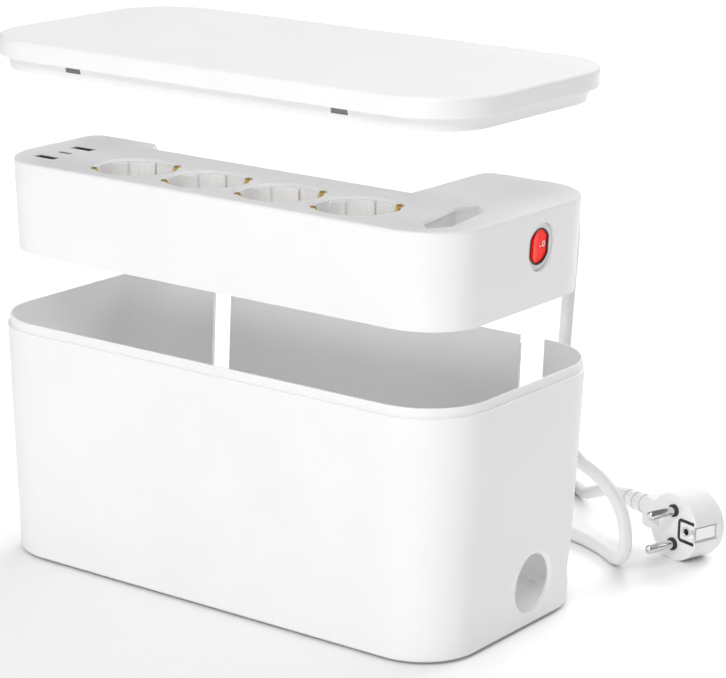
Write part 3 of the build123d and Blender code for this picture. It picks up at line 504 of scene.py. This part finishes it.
def splineLine(name, points):
    # points of a smooth NURBS line through the route, in metres
    curve = bpy.data.curves.new(name, "CURVE")
    curve.dimensions = "3D"
    curve.resolution_u = cord["nurbsSteps"]
    spline = curve.splines.new("NURBS")
    spline.points.add(len(points) - 1)
    place = np.concatenate([np.array(points) * millimetre, np.ones((len(points), 1))], 1)
    spline.points.foreach_set("co", place.ravel())
    spline.order_u = cord["nurbsOrder"]
    spline.use_endpoint_u = True
    holder = bpy.data.objects.new(name, curve)
    scene.collection.objects.link(holder)
    graph = bpy.context.evaluated_depsgraph_get()
    mesh = bpy.data.meshes.new_from_object(holder.evaluated_get(graph))
    line = np.zeros(len(mesh.vertices) * 3)
    mesh.vertices.foreach_get("co", line)
    bpy.data.objects.remove(holder)
    bpy.data.curves.remove(curve)
    bpy.data.meshes.remove(mesh)
    return line.reshape(-1, 3)


def makeCord():
    # a tube along the whole route, which takes the place of the four solid runs
    route = [*cord["leadRoute"], *coilPoints().tolist(), *cord["plugRoute"]]
    line, length = evenly(splineLine("cordRoute", route), cord["step"] * millimetre)
    radius = cord["radius"] * millimetre
    rings = tubeRings(line, radius, cord["sides"])
    uvSize = length * cord["patternsPerMetre"]
    piece = gridMesh("mainsCord", rings, "cordPvc", uvSize=uvSize, smooth=True)
    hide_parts("strip_lead", "table_cord", "cord_coil", "plug_cord")
    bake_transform(piece)
    print("cord made,", round(length, 3), "m")


makeCord()


# tie round the coil

tie = {
    "turnShare": 0.4,
    "width": 8,
    "thickness": 0.7,
    # angles in radians
    "start": -0.3,
    "overlap": 1.1,
    "lapEase": 0.5,
    "steps": 150,
}


def makeTie():
    # a strap drawn round the five cords of the bundle: it follows their hull, whose point in
    # each direction is the furthest cord's middle plus its radius, and laps over its own end
    inner, outer = cord["innerRadius"], cord["innerRadius"] + cord["columnStep"]
    low, layer = cord["firstHeight"], cord["layer"]
    innerColumn = [(inner, low + i * layer) for i in range(3)]
    outerColumn = [(outer, low + i * layer) for i in range(2)]
    cords = np.array(innerColumn + outerColumn)
    start, whole = tie["start"], tie["start"] + 2 * np.pi
    turn = np.linspace(start, whole + tie["overlap"], tie["steps"])
    out = np.stack([np.cos(turn), np.sin(turn)], -1)
    furthest = cords[np.argmax(out @ cords.T, 1)]
    lap = rise(turn, whole - tie["lapEase"], whole)
    half = tie["thickness"] / 2
    reach = cord["radius"] + half + lap * 2 * half
    middle = furthest + out * reach[:, None]
    angle = -np.pi / 2 - 2 * np.pi * tie["turnShare"]
    radial = np.array([math.cos(angle), math.sin(angle), 0])
    sideways = np.array([-math.sin(angle), math.cos(angle), 0])
    centre, upward = np.array([*cord["coilMiddle"], 0]), np.array([0, 0, 1])
    line = centre + middle[:, :1] * radial + middle[:, 1:] * upward
    normal = out[:, :1] * radial + out[:, 1:] * upward
    wide = tie["width"] / 2
    corners = ((wide, -half), (wide, half), (-wide, half), (-wide, -half))
    rings = np.stack([line + sideways * a + normal * b for a, b in corners], 1)
    rings[:, :, 2] = np.maximum(rings[:, :, 2], 0)
    piece = gridMesh("coilTie", rings * millimetre, "tieNylon")
    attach(piece, "box")


makeTie()


# gland with bending grooves

gland = {
    "x": 100.8,
    "height": 206.4,
    "wallY": 69.82,
    "sides": 48,
    "smallest": 0.01,
    # distance from the wall and radius, from inside the strip to the tip
    "profile": (
        (-9, 0),
        (-9, 5.2),
        (-5, 5.2),
        (-5, 7.2),
        (-3, 7.2),
        (-3, 5.2),
        (0, 5.2),
        (2.6, 5.15),
        (2.8, 4.3),
        (4.0, 4.3),
        (4.2, 5.05),
        (5.8, 4.95),
        (6.0, 4.2),
        (7.2, 4.2),
        (7.4, 4.85),
        (9.0, 4.75),
        (9.2, 4.1),
        (10.4, 4.1),
        (10.6, 4.65),
        (13.6, 4.5),
        (14, 4.2),
        (14, 3.4),
    ),
}


def makeGland():
    # outline turned about the cord's axis; its first point is kept just off that axis
    reach, radius = np.array(gland["profile"]).T[:, :, None]
    radius = np.maximum(radius, gland["smallest"])
    turn = circle(gland["sides"])
    x, z = gland["x"] + radius * np.cos(turn), gland["height"] + radius * np.sin(turn)
    points = np.stack([x, gland["wallY"] + reach + 0 * turn, z], -1)
    piece = gridMesh("ribbedGland", points * millimetre, "plugElastomer")
    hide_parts("cord_gland")
    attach(piece, "strip")


makeGland()
print("tie and gland made")


# liner round the rocker and the marks on it

rocker = {
    "wallX": 144.46,
    "middleY": 13,
    "height": 197.4,
    "draft": math.atan(5 / 125.5),
    "axleDepth": 4.8,
    "tilt": math.radians(7),
    "valley": 2.4,
    "facetRise": 0.9,
    "halfWidth": 7.0,
    "dishDepth": 2.6,
    "apertureRadius": 8.6,
    "apertureHalfWidth": 7.6,
    # distance outside the aperture's edge and height over the dish's floor
    "linerProfile": (
        (0.75, 0.75),
        (0.65, 0.95),
        (0, 0.95),
        (-0.22, 0.75),
        (-0.22, -4.4),
        (0.02, -4.4),
    ),
    "linerSteps": 96,
    "beadWidth": 0.6,
    "beadHeight": 0.14,
    "barPlace": (1.9, -0.5),
    "barLength": 1.5,
    "beadSides": 10,
    "barSteps": 8,
    "ringSteps": 32,
    "ringPlace": (4.7, 0.5),
    "ringSize": (0.95, 1.25),
}


def switchAxes(depth):
    # outward, along the end wall and up it, and the point on the switch's axis at a depth
    out = np.array([math.cos(rocker["draft"]), 0, -math.sin(rocker["draft"])])
    along = np.array([0, 1, 0])
    middle = np.array([rocker["wallX"], rocker["middleY"], rocker["height"]]) - depth * out
    return out, along, np.cross(out, along), middle


def makeLiner():
    # black frame pressed into the switch's opening, a circle with two flat sides
    out, along, up, middle = switchAxes(rocker["dishDepth"])
    turn = circle(rocker["linerSteps"])
    rings = []
    for outside, height in rocker["linerProfile"]:
        reach = rocker["apertureRadius"] + outside
        side = rocker["apertureHalfWidth"] + outside
        across = np.clip(reach * np.cos(turn), -side, side)
        upward = reach * np.sin(turn)
        rings.append(middle + across[:, None] * along + upward[:, None] * up + height * out)
    points = np.stack(rings, 1) * millimetre
    piece = gridMesh("rockerFrame", points, "blackNylonAndPaintedShade", closedAlong=True)
    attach(piece, "strip")


def makeMark(name, across, upward, closed):
    # bead of ink on the rocker's far facet; across and upward are millimetres on the face
    out, along, up, axle = switchAxes(rocker["axleDepth"])
    c, s = math.cos(rocker["tilt"]), math.sin(rocker["tilt"])
    faceX, faceOut = c * along - s * out, c * out + s * along
    slope = math.atan(rocker["facetRise"] / rocker["halfWidth"])
    facetX = math.cos(slope) * faceX + math.sin(slope) * faceOut
    facetOut = math.cos(slope) * faceOut - math.sin(slope) * faceX
    origin = axle + rocker["valley"] * faceOut
    line = origin + across[:, None] * facetX + upward[:, None] * up
    beside = np.cross(directions(line, closed), facetOut)
    turn = circle(rocker["beadSides"])[:, None]
    width = beside[:, None] * np.cos(turn) * rocker["beadWidth"] / 2
    height = facetOut * np.sin(turn) * rocker["beadHeight"] / 2
    points = (line[:, None] + width - height) * millimetre
    piece = gridMesh(name, points, "markInk", closedAlong=closed, smooth=True)
    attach(piece, "rocker")


def makeMarks():
    # a short bar for on and an oval ring for off
    x, y = rocker["barPlace"]
    reach = np.linspace(-0.5, 0.5, rocker["barSteps"]) * rocker["barLength"]
    makeMark("markOn", x + reach, y + 0 * reach, False)
    x, y = rocker["ringPlace"]
    turn = circle(rocker["ringSteps"])
    width, height = rocker["ringSize"]
    makeMark("markOff", x + width * np.cos(turn), y + height * np.sin(turn), True)
    print("rocker marked")


makeLiner()
makeMarks()


# contacts on the face of the plug

plug = {
    "middle": (154, 155, 18.5),
    "turn": math.radians(252.5),
    "face": 10,
    "rise": 0.18,
    "sink": 0.6,
    # painted shade: a black U round the earth contact, open to the free end, stands for the
    # shade of the recess there
    "shadeEnds": (-15.9, -4.4),
    "shadeHalf": 5.7,
    "shadeBend": 1.8,
    "shadeWidth": 1.8,
    "earthPlace": -10,
    "earthRing": (2.3, 3.1),
    "ringSteps": 40,
    "bendSteps": 7,
    "tongueSteps": 4,
    # metal tongues from the side clips on to the face: start, end, half width
    "tongues": (("freeTongue", -15.9, -13.3, 2.4), ("cordTongue", 11.6, 15.9, 2.6)),
}


def plugPoint(across, downward, height):
    # across runs to the cord, downward to the table, height along the pins
    c, s = math.cos(plug["turn"]), math.sin(plug["turn"])
    ways = np.array([(s, -c, 0), (0, 0, -1), (c, s, 0)])
    return np.array(plug["middle"]) + np.stack([across, downward, height], -1) @ ways


def flatRibbon(name, x, y, width, low, high, surface, closed=False):
    # bar of rectangular section laid along a line on the face
    line = np.stack([x, y], -1)
    ahead = directions(line, closed)
    beside = np.stack([-ahead[:, 1], ahead[:, 0]], -1) * width / 2
    inner, outer = line - beside, line + beside
    rings = [(inner, low), (inner, high), (outer, high), (outer, low)]
    points = np.stack([plugPoint(p[:, 0], p[:, 1], np.full(len(p), z)) for p, z in rings], 1)
    piece = gridMesh(name, points * millimetre, surface, closedAlong=closed)
    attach(piece, "box")


def makePlugFace():
    # three straight sides with two rounded corners, a ring in them and a tongue at each end
    low, high = plug["face"] - plug["sink"], plug["face"] + plug["rise"]
    start, end = plug["shadeEnds"]
    half, bend = plug["shadeHalf"], plug["shadeBend"]
    quarter = np.linspace(0, np.pi / 2, plug["bendSteps"])
    cornerX, cornerY = end - bend + bend * np.sin(quarter), half - bend + bend * np.cos(quarter)
    x = np.concatenate([[start], cornerX, cornerX[::-1], [start]])
    y = np.concatenate([[half], cornerY, -cornerY[::-1], [-half]])
    # painted shade: the black U stands for the shade of the recess round the earth contact
    flatRibbon("earthRecessPaintedShade", x, y, plug["shadeWidth"], low, high, "blackNylonAndPaintedShade")
    inner, outer = plug["earthRing"]
    turn = circle(plug["ringSteps"])
    radius = (inner + outer) / 2
    x, y = plug["earthPlace"] + radius * np.cos(turn), radius * np.sin(turn)
    flatRibbon("earthRing", x, y, outer - inner, low, high, "plugNickel", closed=True)
    for name, first, last, halfWidth in plug["tongues"]:
        x = np.linspace(first, last, plug["tongueSteps"])
        flatRibbon(name, x, 0 * x, 2 * halfWidth, low, high, "plugNickel")
    print("plug face dressed")


makePlugFace()


# snap latches in the windows of the lid's skirt; their dark grey paints the shade inside the
# windows

latch = {
    # middle of the window along the lid and side of the lid
    "places": {
        "latchFrontLeft": (-83.5, -1),
        "latchFrontRight": (83.5, -1),
        "latchRearLeft": (-83.5, 1),
        "latchRearRight": (83.5, 1),
    },
    "width": 10.4,
    "heights": (267.4, 271.3),
    "depths": (71.4, 70.4),
    "bevel": 0.25,
}


def makeLatches():
    # a bar across each window, behind the skirt's outer face, with its outer edges bevelled;
    # its dark grey is painted shade, standing for the shade inside the window
    low, high = latch["heights"]
    outer, inner = latch["depths"]
    cut = latch["bevel"]
    edges = ((outer - cut, low), (outer, low + cut), (outer, high - cut), (outer - cut, high))
    profile = (*edges, (inner, high), (inner, low))
    for name, (middle, side) in latch["places"].items():
        ends = (middle - latch["width"] / 2, middle + latch["width"] / 2)
        points = np.array([[(x, side * y, z) for y, z in profile] for x in ends])
        piece = gridMesh(name, points * millimetre, "latchPaintedShade")
        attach(piece, "lid")


makeLatches()
print("latches made")

bpy.context.view_layer.update()
